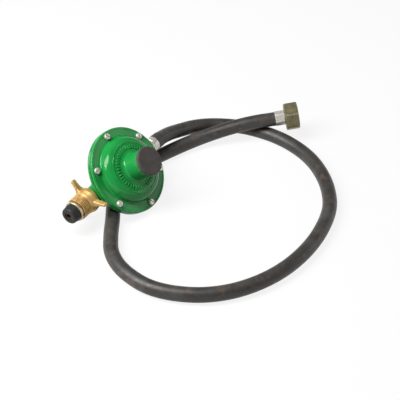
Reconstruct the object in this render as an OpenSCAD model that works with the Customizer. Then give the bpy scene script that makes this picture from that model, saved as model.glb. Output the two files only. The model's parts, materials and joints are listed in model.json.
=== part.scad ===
// Low-pressure propane regulator with a wing-nut inlet, a rubber hose and a hexagon swivel nut.
// Millimetres, +Z up. The regulator leans on its flange rim, as it does when laid on a table, with
// the inlet-to-outlet line level and along +X. The origin is on the table under its middle.
//
// Every piece of the regulator is drawn in the housing's own frame: z = 0 is the middle of the
// clamped diaphragm, +z is the bonnet's side, -x the inlet and +x the outlet. in_housing() stands
// it on the table. The pieces on the hose's far end are drawn along +x and placed by in_end().

/* [Housing] */
// From the screws' circle to the edge of both flanges
flange_margin = 4.9; // [4.4:0.1:6]
// Thickness of the bonnet's flange
bonnet_flange_t = 3.6; // [3:0.1:4.6]
// Thickness of the lower body's flange
body_flange_t = 3.4; // [3:0.1:4.6]
// Rounding of the flange edges
flange_edge_r = 1.2; // [0.6:0.1:1.4]
// Wall of the bonnet's dome at its foot, outside the hollow that the diaphragm works in
dome_wall = 2.4; // [2:0.1:3.4]
// Depth of the lower body's bowl below its flange
bowl_depth = 6; // [5.5:0.1:6.4]
// Wall of the castings
wall_t = 2.8; // [2.4:0.1:3.2]
// How far the line of the inlet and outlet lies below the diaphragm
axis_drop = 15.2; // [14.8:0.1:15.4]
// Diameter of the barrel that joins the inlet to the outlet
barrel_d = 20.4; // [19.6:0.1:20.8]
// Lean of the housing as it lies on the table
lean = 49; // [49:0.5:51]

/* [Bonnet] */
// Flat width between a screw's head and the fillet at the dome's foot
head_gap = 1; // [0.6:0.1:1.4]
// Height of the lettered ring's outer edge above the diaphragm
shoulder_h = 14.4; // [13:0.1:16]
// Width of the dome's shoulder, from its foot in to the ring round the tower
shoulder_w = 7.4; // [7:0.1:9]
// Outside diameter of the spring tower
tower_d = 27.6; // [27:0.1:29]
// Height of the tower's top above the diaphragm
tower_h = 35.4; // [35:0.1:40]
// Bore of the tower, which carries the adjusting thread
tower_bore_d = 20.4; // [19.6:0.1:21.4]

/* [Cover screws] */
// Number of cover screws
screw_count = 6; // [4:2:8]
// Diameter of the circle that the screws lie on
screw_circle_d = 77.6; // [76.6:0.1:78.4]
// Thread diameter of a cover screw
screw_d = 4; // [3:0.1:4.2]
// Head diameter of a cover screw
screw_head_d = 6.4; // [6:0.1:7]
// Head height of a cover screw
screw_head_h = 2.5; // [2:0.1:3]

/* [Cap and adjuster] */
// Diameter of the cap
cap_d = 28.8; // [28.4:0.1:30]
// Thickness of the cap's disc
cap_t = 3.5; // [3:0.1:5]
// Height of the adjusting screw
adjuster_h = 7; // [6:0.1:8]

/* [Diaphragm and springs] */
// Thickness of the diaphragm
diaphragm_t = 1; // [0.8:0.1:1.4]
// How far the diaphragm's middle hangs below its rim at rest
diaphragm_sag = 2; // [1.8:0.1:2.2]
// Travel of the diaphragm from fully open to shut
diaphragm_travel = 2.6; // [2:0.1:2.8]
// Diameter of the plate on the diaphragm
plate_d = 28; // [26:0.5:30]
// Thickness of the plate
plate_t = 1.2; // [1:0.1:1.6]
// Wire of the main spring
main_wire_d = 1.8; // [1.4:0.1:2]
// Mean diameter of the main spring
main_coil_d = 15.6; // [14.8:0.1:16]
// Turns of the main spring
main_turns = 6; // [4:1:7]
// Wire of the relief spring
relief_wire_d = 0.7; // [0.5:0.05:0.8]
// Mean diameter of the relief spring
relief_coil_d = 6.4; // [6.2:0.1:7]
// Turns of the relief spring
relief_turns = 5; // [4:1:6]

/* [Lever and valve] */
// Distance from the lever's pin to the middle of the diaphragm
lever_reach = 13; // [12.5:0.1:14]
// Distance from the lever's pin down to the valve's axis
lever_drop = 5.3; // [5:0.1:5.6]
// Thickness of the lever
lever_t = 1.4; // [1:0.1:1.6]
// Diameter of the lever's pin
pin_d = 2.4; // [2:0.1:2.8]
// Diameter of the valve's rod
rod_d = 5; // [4.6:0.1:5.4]
// Diameter of the orifice
orifice_d = 2.2; // [1.6:0.1:3]

/* [Inlet fitting] */
// Outside diameter of the wing nut's left-hand thread
thread_d = 22.35; // [22:0.01:22.6]
// Length of the wing nut's thread
thread_l = 11; // [9:0.1:11.5]
// Diameter of the wing nut's cast hub
hub_d = 26; // [25:0.1:27]
// Distance from the wing nut's back to the middle of the wings
wing_back = 5.3; // [5:0.1:6.5]
// Radius of the wings' tips
wing_r = 24.6; // [22:0.1:25]
// Width of a wing along the fitting, at its tip
wing_w = 5.4; // [4.5:0.1:6]
// Thickness of a wing at its tip
wing_t = 3.2; // [2.8:0.1:4]
// Length of the wing nut
nut_l = 25.8; // [25.5:0.1:27.5]
// How far the rubber nose stands out of the nut
nose_l = 8.4; // [7:0.1:9]
// Diameter of the nose at its tip
nose_d = 16.8; // [16:0.1:18]
// Gas passage through the inlet nipple
passage_d = 5; // [4:0.1:6]

/* [Hose and its fittings] */
// Outside diameter of the hose
hose_d = 14.5; // [13.5:0.1:15]
// Bore of the hose
hose_bore_d = 8; // [7:0.1:9]
// Outside diameter of the crimped ferrules
ferrule_d = 15.6; // [15:0.1:16.4]
// Length of the ferrule at the regulator
outlet_ferrule_l = 21; // [16:0.5:22]
// Length of the ferrule at the far end
end_ferrule_l = 10.3; // [9.5:0.1:12]
// Width of the swivel nut across its flats
hex_af = 27; // [26:0.1:27]
// Length of the swivel nut
hex_l = 13.8; // [13.4:0.1:14.8]
// Minor diameter of the swivel nut's half-inch pipe thread
hex_bore_d = 18.64; // [18.2:0.02:19]

/* [Hidden] */
$fn = 96;

// Clearances
fit = 0.05;       // running fit, on the radius
loose = 0.3;      // between pieces that move past each other
seal_gap = 0.05;  // between the shut valve and its seat
edge = 0.4;       // small chamfers
eps = 0.01;

green = "#2f9a55";
brass = "#c8a05a";
steel = "#b9b6ae";
black = "#3b3937";
silver = "#c8c5c0";

// Housing levels
flange_r = screw_circle_d / 2 + flange_margin;
joint_z = diaphragm_t / 2;                 // the bonnet's underside; the body's top is its mirror
flange_top = joint_z + bonnet_flange_t;
flange_bottom = -joint_z - body_flange_t;
bowl_bottom = flange_bottom - bowl_depth;
barrel_r = barrel_d / 2;
dome_fillet = 1.2;
dome_r = screw_circle_d / 2 - screw_head_d / 2 - head_gap - dome_fillet;
chamber_r = dome_r - dome_wall;
chamber_floor = bowl_bottom + wall_t;
bowl_r = chamber_r + wall_t;

// Where the housing stands: its rim's lowest point is on the table
stand_z = (flange_r - flange_edge_r) * sin(lean) - (flange_bottom + flange_edge_r) * cos(lean)
    + flange_edge_r;
stand = [-2.6, 3.9, stand_z];
axis_y = stand[1] + axis_drop * sin(lean);
axis_z = stand[2] - axis_drop * cos(lean);

// Inlet and outlet, along the barrel
boss_face = flange_r - 0.5;                // the inlet boss's end
boss_r = 9;
outlet_face = flange_r - 2.7;              // the outlet boss's end
outlet_r = 10;
stem_r = 6.8;                              // threaded stems in both bosses
stem_l = 11;
nut_back_x = boss_face + loose;
wing_x = nut_back_x + wing_back;           // the middle of the wings
nut_front_x = nut_back_x + nut_l;
collar_t = 4;                              // the nipple's shoulder inside the nut
collar_x = nut_front_x - 1.3;              // its front face, where the nose seats
collar_r = thread_d / 2 - 2.5;
nipple_r = 6.4;
nose_tip_x = nut_front_x + nose_l;
nose_pin_r = passage_d / 2 + 1.7;          // the nipple's tip inside the rubber
nose_base_r = 9.2;                         // where the rubber swells in front of the nut

// Spring tower
bore_r = tower_bore_d / 2;
bore_foot = 12.5;                          // where the bore opens into the dome
cap_gap = loose;
cap_z = tower_h + cap_gap;
cap_plug_l = 3.4;
adjuster_z = tower_h - cap_plug_l - 1 - adjuster_h;
seat_t = 2.4;                              // the disc between adjusting screw and spring
seat_z = adjuster_z - seat_t;

// Diaphragm assembly
middle_top = joint_z - diaphragm_sag;      // the middle of the diaphragm, upper face
middle_bottom = middle_top - diaphragm_t;
plate_top = middle_top + plate_t;
post_flange_r = 5;
post_flange_t = 1.6;
post_r = 2.6;
post_stem_r = 1.5;
post_hole_r = post_stem_r + 0.4;
relief_h = 8;                              // the relief spring's length
relief_top = plate_top + relief_h;

// Lever and valve
pin_z = -axis_drop + lever_drop;
pin_r = pin_d / 2;
lever_hub_r = pin_r + 1.3;
lever_w = 4;
valve_travel = diaphragm_travel * lever_drop / lever_reach;
seat_x = -9;                               // the nozzle's raised seat
disc_x = seat_x + valve_travel + seal_gap; // the rubber disc's face, valve open
disc_r = 2.9;
disc_t = 1.8;
cup_r = 3.9;
cup_l = 4.4;
rod_r = rod_d / 2;
rod_end = 23;
slot_w = lever_t + 1.2;
pocket_w = 15;
pocket_x = [seat_x - 2.5, lever_reach + 4.6];
pocket_floor = -axis_drop - cup_r - loose;
guide_l = 5;                               // the wall that guides the rod
outlet_bore_r = stem_r - 0.3;
port_r = 1.2;

// Far end of the hose: where the ferrule starts, its heading and its dip
end_heading = -50.5;
end_dip = -8;
end_pos = [166.9, -64.5, 23.3];
end_dir = [cos(end_dip) * cos(end_heading), cos(end_dip) * sin(end_heading), -sin(end_dip)];
hex_roll = -12;                               // turns a corner of the nut upwards
nut_gap = loose;
tail_neck_r = 6.2;
tail_collar_t = 2.6;
hex_back_t = 2.4;                          // the nut's rear web, behind the tail's collar
washer_t = 1.5;

// Route of the hose's centre line
exit_x = stand[0] + outlet_face + loose + outlet_ferrule_l;
outlet_point = [exit_x, axis_y, axis_z];
ROUTE = [
    outlet_point, outlet_point + [13, 0, -1.1],
    [86, 14.7, 21.1], [100.5, 12.4, 17.1], [116.5, 7.3, 13.8], [131, -1.5, 11], [143.5, -14.5, 8.7],
    [152.5, -30.5, 7.6], [157.5, -49.5, 7.3], [159, -72, 7.3], [155.5, -96, 7.3], [147, -119, 7.3],
    [133, -140, 7.3], [114, -159, 7.3], [89, -175, 7.3], [58, -184, 7.3], [26, -187, 7.3],
    [-6, -184, 7.3], [-35, -175, 7.3], [-61, -160, 7.3], [-81, -140, 7.3], [-94, -117, 7.3],
    [-100, -95, 7.3], [-99, -74, 7.3], [-93, -53.5, 7.3], [-81.5, -36, 7.3], [-64.4, -22.2, 7.3],
    [-43.9, -8.7, 7.3], [-23, 5.5, 7.3], [-1, 17, 7.3], [21, 22, 7.3], [42, 20, 7.3],
    [62, 12.6, 7.3], [81, 6, 7.4], [99, -1.4, 8.1], [115, -11.3, 10.6], [129, -24, 15],
    [142, -38, 19.4], [154.5, -51.5, 22.2], end_pos];
hose_sides = 10;
rings_per_step = 2;

// ---- Helpers -------------------------------------------------------------------------------

// From the housing's frame to the table
module in_housing() {
    translate(stand) rotate([lean, 0, 0]) children();
}

// From the end fitting's frame, +x outwards, to the table
module in_end() {
    translate(end_pos) rotate([0, 0, end_heading]) rotate([0, end_dip, 0]) children();
}

// A profile of [x, radius] points turned round the x axis of the current frame
module turned_x(points) {
    rotate([90, 0, 90]) rotate_extrude() polygon([for (p = points) [p[1], p[0]]]);
}

// The same about the line of the inlet and outlet
module on_axis(points) {
    translate([0, 0, -axis_drop]) turned_x(points);
}

// A cylinder along the inlet-outlet line from x0 to x1
module axis_cylinder(x0, x1, r) {
    translate([x0, 0, -axis_drop]) rotate([0, 90, 0]) cylinder(h = x1 - x0, r = r);
}

// Points of an arc
function arc(c, r, a0, a1, n) =
    [for (i = [0 : n]) let (a = a0 + (a1 - a0) * i / n) c + r * [cos(a), sin(a)]];

// A copy at every cover screw. The inlet lies midway between two of them
module at_screws() {
    for (i = [0 : screw_count - 1])
        rotate([0, 0, 180 + (i + 0.5) * 360 / screw_count])
            translate([screw_circle_d / 2, 0, 0]) children();
}

// A helix of round wire as one closed tube from z0 to z1, with the wire inside those levels
module coil_spring(z0, z1, coil_r, wire_r, turns, sides = 8, steps = 14) {
    n = turns * steps;
    low = z0 + wire_r;
    rise = z1 - z0 - 2 * wire_r;
    dead = steps * 3 / 4;                  // closed part of a turn at each end
    level = function (i) min(1, max(0, (i - dead) / (n - 2 * dead)));
    points = [for (i = [0 : n]) for (k = [0 : sides - 1])
        let (a = 360 * i / steps, b = 360 * k / sides, r = coil_r + wire_r * cos(b))
        [r * cos(a), r * sin(a), low + rise * level(i) + wire_r * sin(b)]];
    tube(points, sides, n + 1);
}

// One closed skin over rings of points, given ring by ring
module tube(points, sides, rings) {
    skin = [for (i = [0 : rings - 2]) for (k = [0 : sides - 1])
        let (a = i * sides + k, b = i * sides + (k + 1) % sides)
        [a, b, b + sides, a + sides]];
    first = [for (k = [sides - 1 : -1 : 0]) k];
    last = [for (k = [0 : sides - 1]) (rings - 1) * sides + k];
    polyhedron(points, concat([first], skin, [last]));
}

// Catmull-Rom curve through points, leaving the first and reaching the last in given directions
function between(p, i, t) =
    (2 * p[i] + (p[i + 1] - p[i - 1]) * t
        + (2 * p[i - 1] - 5 * p[i] + 4 * p[i + 1] - p[i + 2]) * t * t
        + (3 * p[i] - p[i - 1] - 3 * p[i + 1] + p[i + 2]) * t * t * t) / 2;
function smooth(p, n, leave, reach) =
    let (m = len(p) - 1,
         before = p[1] - 2 * norm(p[1] - p[0]) * leave,
         after = p[m - 1] + 2 * norm(p[m] - p[m - 1]) * reach,
         q = concat([before], p, [after]))
    concat([for (i = [1 : m]) for (k = [0 : n - 1]) between(q, i, k / n)], [p[m]]);

function unit(v) = v / norm(v);

// A round tube swept along a route that is never upright
module swept(route, r, sides, leave, reach) {
    last = len(route) - 1;
    points = [for (i = [0 : last])
        let (t = i == 0 ? leave : i == last ? reach : unit(route[i + 1] - route[i - 1]),
             side = unit(cross(t, [0, 0, 1])), up = cross(side, t))
        for (k = [0 : sides - 1]) let (a = 360 * (k + 0.5) / sides)
            route[i] + r * (cos(a) * side + sin(a) * up)];
    tube(points, sides, last + 1);
}

// A hose tail: a barbed end of length l towards -x, from its root at x = 0 and 1 mm inside it
module barbs(l) {
    pitch = 5;
    count = floor((l - 3) / pitch);
    turned_x(concat(
        [[1, 0], [1, hose_bore_d / 2]],
        [for (i = [0 : count - 1]) each [
            [-i * pitch - 1.2, hose_bore_d / 2],
            [-i * pitch - 1.6, hose_bore_d / 2 + 0.5],
            [-(i + 1) * pitch, hose_bore_d / 2 - 0.1]]],
        [[-l, hose_bore_d / 2 - 0.4], [-l, 0]]));
}

// ---- Housing -------------------------------------------------------------------------------

module lower_body() color(green) in_housing() difference() {
    union() {
        // flange and bowl
        rotate_extrude() polygon(concat(
            [[0, -joint_z], [flange_r - edge, -joint_z], [flange_r, -joint_z - edge]],
            arc([flange_r - flange_edge_r, flange_bottom + flange_edge_r], flange_edge_r, 0, -90, 6),
            arc([bowl_r + 1.6, flange_bottom - 1.6], 1.6, 90, 180, 4),
            arc([bowl_r - bowl_edge_r, bowl_bottom + bowl_edge_r], bowl_edge_r, 0, -78, 6),
            [[barrel_r + 3, bowl_bottom - hump], [0, bowl_bottom - hump]]));
        // barrel from the inlet boss to the outlet boss
        on_axis([[-boss_face, 0], [-boss_face, boss_r - edge], [-boss_face + edge, boss_r],
            [-boss_face + 9, boss_r + 0.3], [-boss_face + 14, barrel_r], [outlet_face - 12, barrel_r],
            [outlet_face - 9, outlet_r], [outlet_face - edge, outlet_r],
            [outlet_face, outlet_r - edge], [outlet_face, 0]]);
        body_ribs();
    }
    // room under the diaphragm
    rotate_extrude() polygon(concat(
        [[0, 0], [chamber_r, 0], [chamber_r, -joint_z]],
        arc([chamber_r - 2, chamber_floor + 2], 2, 0, -90, 4),
        [[0, chamber_floor]]));
    // pocket for the lever and valve
    translate([pocket_x[0], -pocket_w / 2, pocket_floor])
        cube([pocket_x[1] - pocket_x[0], pocket_w, chamber_floor - pocket_floor + 1]);
    // inlet: stem thread, passage, nozzle thread
    axis_cylinder(-boss_face - 1, -boss_face + stem_l + loose, stem_r + fit);
    axis_cylinder(-boss_face, pocket_x[0], passage_d / 2);
    axis_cylinder(seat_x - 12, pocket_x[0] + eps, nozzle_r + fit);
    // outlet: guide for the rod, ports past it, stem thread
    axis_cylinder(pocket_x[1] - eps, pocket_x[1] + guide_l + eps, rod_r + fit);
    for (a = [45 : 90 : 315]) translate([0, port_offset * cos(a), port_offset * sin(a)])
        axis_cylinder(pocket_x[1] - eps, pocket_x[1] + guide_l + eps, port_r);
    axis_cylinder(pocket_x[1] + guide_l, outlet_face + 1, outlet_bore_r);
    axis_cylinder(outlet_face - stem_l - loose, outlet_face + 1, stem_r + fit);
    // tapped holes
    at_screws() translate([0, 0, flange_bottom - 1]) cylinder(h = body_flange_t + 2, r = screw_d / 2 + fit);
    at_bracket_screws() translate([0, 0, bracket_z - bracket_screw_l - 0.5])
        cylinder(h = bracket_screw_l + 2, r = bracket_screw_r + fit);
}

// Ribs of the casting between the barrel and the bowl's rim
module body_ribs() {
    for (side = [-1, 1]) for (x = [-1, 1] * rib_x)
        translate([x - rib_t / 2, 0, 0]) rotate([90, 0, 90]) linear_extrude(rib_t)
            polygon([[0, bowl_bottom + 1], [side * (bowl_r - rib_end), bowl_bottom + 1],
                [side * (bowl_r - rib_end), bowl_bottom - 0.8],
                [side * (barrel_r - 1), bowl_bottom - rib_drop], [0, bowl_bottom - rib_drop]]);
}

bowl_edge_r = 5;
hump = 3.2;                                // how far the bowl's middle swells towards the barrel
rib_t = 2.4;
rib_x = 11;
rib_end = 6;                               // how far a rib stops short of the bowl's side
rib_drop = 4.4;
nozzle_r = 5;
port_offset = (rod_r + fit + 0.5) + port_r;

module bonnet() color(green) in_housing() difference() {
    rotate_extrude() polygon(concat(
        [[0, joint_z], [flange_r - edge, joint_z], [flange_r, joint_z + edge]],
        arc([flange_r - flange_edge_r, flange_top - flange_edge_r], flange_edge_r, 0, 90, 6),
        arc([dome_r + dome_fillet, flange_top + dome_fillet], dome_fillet, 270, 180, 4),
        arc([dome_r - shoulder_r, shoulder_h - shoulder_r], shoulder_r, 4, 74, 10),
        [[ring_r, shoulder_h + 0.3], [ring_r - 0.8, shoulder_h], [tower_foot_r, ring_top]],
        arc([tower_r + 3.2, ring_top + 3.6], 3.2, 256, 180, 6),
        [[tower_r - 0.2, tower_h - 0.8], [tower_r - 1, tower_h], [0, tower_h]]));
    // room over the diaphragm
    rotate_extrude() polygon(concat(
        [[0, 0], [chamber_r, 0], [chamber_r, flange_top]],
        arc([chamber_r - inner_r, shoulder_h - wall_t - inner_r], inner_r, 8, 80, 8),
        [[bore_r + 2, ring_top - wall_t], [bore_r, bore_foot + 1.5], [0, bore_foot + 1.5]]));
    // spring bore and adjusting thread
    cylinder(h = tower_h + 1, r = bore_r);
    translate([0, 0, tower_h - 0.8]) cylinder(h = 0.81, r1 = bore_r, r2 = bore_r + 0.8);
    // clearance holes
    at_screws() translate([0, 0, 0]) cylinder(h = flange_top + 1, r = screw_d / 2 + loose);
    // breather hole in the dome's shoulder
    rotate([0, 0, vent_angle]) translate([ring_r - 3, 0, joint_z + 6])
        cylinder(h = shoulder_h, r = vent_r);
}

ring_r = dome_r - shoulder_w;
tower_r = tower_d / 2;
tower_foot_r = tower_r + 3.4;
ring_top = shoulder_h + 0.9;
shoulder_r = min(9.2, shoulder_h - flange_top - 1.3);
inner_r = shoulder_r - 1.5;
vent_angle = -38;
vent_r = 1.25;

module diaphragm() color(black) in_housing() {
    roll_in = plate_d / 2 + 2;
    roll_out = chamber_r - 1.5;
    roll_mid = (roll_in + roll_out) / 2;
    roll_h = 3;
    line = concat(
        [[post_hole_r, middle_top], [roll_in, middle_top]],
        [for (i = [1 : 9]) let (s = i / 10)
            [roll_in + (roll_out - roll_in) * s,
             middle_top + diaphragm_sag * s + roll_h * sin(180 * s)]],
        [[roll_out, joint_z], [flange_r - 1, joint_z]]);
    difference() {
        rotate_extrude() polygon(concat(line,
            [for (i = [len(line) - 1 : -1 : 0]) line[i] - [0, diaphragm_t]]));
        at_screws() translate([0, 0, -2]) cylinder(h = 4, r = screw_d / 2 + loose);
    }
}

module cover_screws() color(steel) in_housing() at_screws() difference() {
    union() {
        rotate_extrude() polygon(concat([[0, flange_top], [screw_head_d / 2, flange_top]],
            [[screw_head_d / 2, flange_top + screw_head_h * 0.45]],
            arc([screw_head_d / 2 - 1.2, flange_top + screw_head_h - 1.2], 1.2, 20, 80, 4),
            [[0, flange_top + screw_head_h]]));
        translate([0, 0, flange_bottom + 0.2])
            cylinder(h = flange_top - flange_bottom - 0.2, r = screw_d / 2);
    }
    rotate([0, 0, 35]) translate([-screw_head_d, -0.5, flange_top + screw_head_h - 1.1])
        cube([2 * screw_head_d, 1, 2]);
}

// ---- Cap, adjuster and spring --------------------------------------------------------------

module tower_cap() color(black) in_housing() {
    rim_r = 1.3;
    top = cap_z + cap_t;
    rotate_extrude() polygon(concat(
        [[0, cap_z - cap_plug_l], [bore_r - loose - edge, cap_z - cap_plug_l],
         [bore_r - loose, cap_z - cap_plug_l + edge], [bore_r - loose, cap_z],
         [cap_d / 2 - edge, cap_z], [cap_d / 2, cap_z + edge]],
        arc([cap_d / 2 - rim_r, top - rim_r], rim_r, 0, 90, 6), [[0, top]]));
}

// The adjusting plug, with a slot for a screwdriver
module adjusting_screw() color(steel) in_housing() difference() {
    translate([0, 0, adjuster_z + fit]) rotate_extrude() polygon([
        [0, 0], [bore_r - fit - edge, 0], [bore_r - fit, edge],
        [bore_r - fit, adjuster_h - edge], [bore_r - fit - edge, adjuster_h], [0, adjuster_h]]);
    translate([-bore_r, -slot_t / 2, adjuster_z + adjuster_h - slot_depth])
        cube([2 * bore_r, slot_t, slot_depth + 1]);
}

slot_t = 2;
slot_depth = 2.4;

module spring_seat() color(steel) in_housing() difference() {
    translate([0, 0, seat_z]) rotate_extrude() polygon([
        [0, -1], [main_coil_d / 2 - main_wire_d / 2 - loose, -1],
        [main_coil_d / 2 - main_wire_d / 2 - loose, 0], [bore_r - loose, 0],
        [bore_r - loose, seat_t - edge], [bore_r - loose - edge, seat_t], [0, seat_t]]);
    translate([0, 0, seat_z - 2]) cylinder(h = seat_t + 4, r = 3);
}

module main_spring() color(steel) in_housing()
    coil_spring(plate_top + fit, seat_z - fit, main_coil_d / 2, main_wire_d / 2, main_turns);

// ---- Diaphragm assembly --------------------------------------------------------------------

module diaphragm_plate() color(steel) in_housing() difference() {
    union() {
        translate([0, 0, middle_top + fit]) cylinder(h = plate_t - fit, r = plate_d / 2);
        // upturned rim that keeps the plate flat
        translate([0, 0, middle_top + fit]) difference() {
            cylinder(h = plate_t + 1.2, r = plate_d / 2);
            translate([0, 0, -1]) cylinder(h = plate_t + 4, r = plate_d / 2 - plate_t);
        }
    }
    translate([0, 0, middle_top - 1]) cylinder(h = plate_t + 2, r = post_hole_r);
}

module pusher_post() color(brass) in_housing() difference() {
    union() {
        translate([0, 0, middle_bottom - fit - post_flange_t])
            cylinder(h = post_flange_t, r = post_flange_r);
        translate([0, 0, post_foot]) cylinder(h = middle_bottom - fit - post_foot - edge, r = post_r);
        translate([0, 0, middle_bottom - 1]) cylinder(h = relief_top + 5 - middle_bottom, r = post_stem_r);
    }
    // window for the lever's tip
    translate([-post_r - 1, -(lever_w / 2 + loose) + 0.6, pin_z - window_h / 2])
        cube([2 * post_r + 2, lever_w + 2 * loose - 1.2, window_h]);
}

window_h = lever_t + 4 * loose;
post_foot = pin_z - window_h / 2 - 1;

module relief_spring() color(steel) in_housing()
    coil_spring(plate_top + fit, relief_top - fit, relief_coil_d / 2, relief_wire_d / 2,
        relief_turns, 6, 12);

module relief_nut() color(steel) in_housing() translate([0, 0, relief_top]) difference() {
    union() {
        cylinder(h = 0.9, r = relief_coil_d / 2 + 1);
        translate([0, 0, 0.9 - eps]) cylinder(h = 2.4, d = 5.5 / cos(30), $fn = 6);
    }
    translate([0, 0, -1]) cylinder(h = 6, r = post_stem_r + fit / 2);
}

// ---- Lever and valve -----------------------------------------------------------------------

module lever() color(steel) in_housing() difference() {
    union() {
        translate([lever_reach, lever_w / 2, pin_z]) rotate([90, 0, 0])
            cylinder(h = lever_w, r = lever_hub_r);
        // long arm to the post, with its tip narrowed to pass the window
        translate([-1.4, -lever_w / 2 + 0.9, pin_z - lever_t / 2])
            cube([lever_reach, lever_w - 1.8, lever_t]);
        translate([post_r + 1.4, -lever_w / 2, pin_z - lever_t / 2])
            cube([lever_reach - post_r - 1.4, lever_w, lever_t]);
        // short arm down into the rod's slot
        translate([lever_reach - lever_t / 2, -1.3, -axis_drop - 0.4])
            cube([lever_t, 2.6, lever_drop]);
    }
    translate([lever_reach, lever_w, pin_z]) rotate([90, 0, 0])
        cylinder(h = 2 * lever_w, r = pin_r + fit);
}

module lever_pin() color(steel) in_housing()
    translate([lever_reach, pin_l / 2, pin_z]) rotate([90, 0, 0]) cylinder(h = pin_l, r = pin_r);

pin_l = pocket_w - 2 * loose;
bracket_z = chamber_floor;
bracket_t = 1.2;
bracket_gap = lever_w / 2 + loose;
bracket_screw_r = 1.2;
bracket_screw_l = 5;
bracket_screw_y = pocket_w / 2 + 3;
bracket_foot = 5.6;
bracket_w = 6;
bracket_drop = 2.6;                        // how far an ear reaches below the pin's axis
bracket_head_r = 2.2;
bracket_head_h = 1.3;

// A pair of ears over the pocket's edges, one screw in each
module lever_bracket() color(steel) in_housing() for (side = [-1, 1]) {
    difference() {
        union() {
            translate([lever_reach - bracket_w / 2, side > 0 ? bracket_gap : -bracket_gap - bracket_t,
                pin_z - bracket_drop])
                cube([bracket_w, bracket_t, bracket_z + bracket_t - pin_z + bracket_drop]);
            translate([lever_reach - bracket_w / 2, side > 0 ? bracket_gap : -bracket_gap - bracket_reach,
                bracket_z]) cube([bracket_w, bracket_reach, bracket_t]);
        }
        translate([lever_reach, pocket_w, pin_z]) rotate([90, 0, 0])
            cylinder(h = 2 * pocket_w, r = pin_r + fit / 2);
        at_bracket_screws() translate([0, 0, bracket_z - 1])
            cylinder(h = bracket_t + 2, r = bracket_screw_r + fit);
    }
}

bracket_reach = bracket_screw_y + bracket_foot / 2 - bracket_gap;

module at_bracket_screws() {
    for (side = [-1, 1]) translate([lever_reach, side * bracket_screw_y, 0]) children();
}

module bracket_screws() color(steel) in_housing() at_bracket_screws() difference() {
    union() {
        translate([0, 0, bracket_z - bracket_screw_l]) cylinder(h = bracket_screw_l + 1, r = bracket_screw_r);
        translate([0, 0, bracket_z + bracket_t]) cylinder(h = bracket_head_h, r = bracket_head_r);
    }
    translate([-2 * bracket_head_r, -0.3, bracket_z + bracket_t + bracket_head_h - 0.6])
        cube([4 * bracket_head_r, 0.6, 2]);
}

module valve_holder() color(brass) in_housing() difference() {
    on_axis([[disc_x + 0.4, 0], [disc_x + 0.4, cup_r - edge], [disc_x + 0.4 + edge, cup_r],
        [disc_x + cup_l - edge, cup_r], [disc_x + cup_l, cup_r - edge], [disc_x + cup_l, rod_r],
        [rod_end - edge, rod_r], [rod_end, rod_r - edge], [rod_end, 0]]);
    axis_cylinder(disc_x, disc_x + disc_t + fit, disc_r + fit / 2);
    translate([lever_reach - slot_w / 2, -rod_r, -axis_drop - 1]) cube([slot_w, 2 * rod_r, rod_r + 2]);
}

module valve_disc() color(black) in_housing() axis_cylinder(disc_x, disc_x + disc_t, disc_r);

module seat_nozzle() color(brass) in_housing() difference() {
    on_axis([[seat_x - 11.5, 0], [seat_x - 11.5, nozzle_r], [seat_x - 3, nozzle_r],
        [seat_x - 2.2, nozzle_r - edge], [seat_x - 1.6, orifice_d / 2 + 1.4],
        [seat_x, orifice_d / 2 + 0.5], [seat_x, 0]]);
    axis_cylinder(seat_x - 6, seat_x + 1, orifice_d / 2);
    axis_cylinder(seat_x - 12, seat_x - 5, passage_d / 2);
}

// ---- Inlet fitting -------------------------------------------------------------------------

module inlet_nipple() color(brass) in_housing() difference() {
    on_axis([[-nose_tip_x + 0.8, 0], [-nose_tip_x + 0.8, nose_pin_r - edge],
        [-nose_tip_x + 0.8 + edge, nose_pin_r], [-collar_x, nose_pin_r], [-collar_x, collar_r - edge],
        [-collar_x + edge, collar_r], [-collar_x + collar_t, collar_r],
        [-collar_x + collar_t + 1, nipple_r], [-boss_face - fit, nipple_r], [-boss_face - fit, stem_r],
        [-boss_face + stem_l - 1, stem_r], [-boss_face + stem_l, stem_r - 1],
        [-boss_face + stem_l, 0]]);
    axis_cylinder(-nose_tip_x, -boss_face + stem_l + 1, passage_d / 2);
    axis_cylinder(-boss_face + 2, -boss_face + stem_l + 1, filter_r + fit / 2);
}

filter_r = 4.2;

// Sintered plug in the nipple's inner end
module inlet_filter() color("#a98452") in_housing()
    on_axis([[-boss_face + 2 + fit, 0], [-boss_face + 2 + fit, filter_r], [-boss_face + stem_l - 2, filter_r],
        [-boss_face + stem_l - 1, filter_r - 1.2], [-boss_face + stem_l - 1, 0]]);

module nose_seal() color(black) in_housing() difference() {
    tip_r = 1.8;
    on_axis(concat([[-collar_x - fit, 0], [-collar_x - fit, collar_r], [-nut_front_x - loose, collar_r],
            [-nut_front_x - loose, nose_base_r - edge], [-nut_front_x - loose - edge, nose_base_r]],
        [for (a = [0 : 15 : 90]) [-nose_tip_x + tip_r - tip_r * sin(a),
            nose_d / 2 - tip_r + tip_r * cos(a)]],
        [[-nose_tip_x, 0]]));
    axis_cylinder(-nose_tip_x - 1, -collar_x, nose_pin_r + fit / 2);
}

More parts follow.
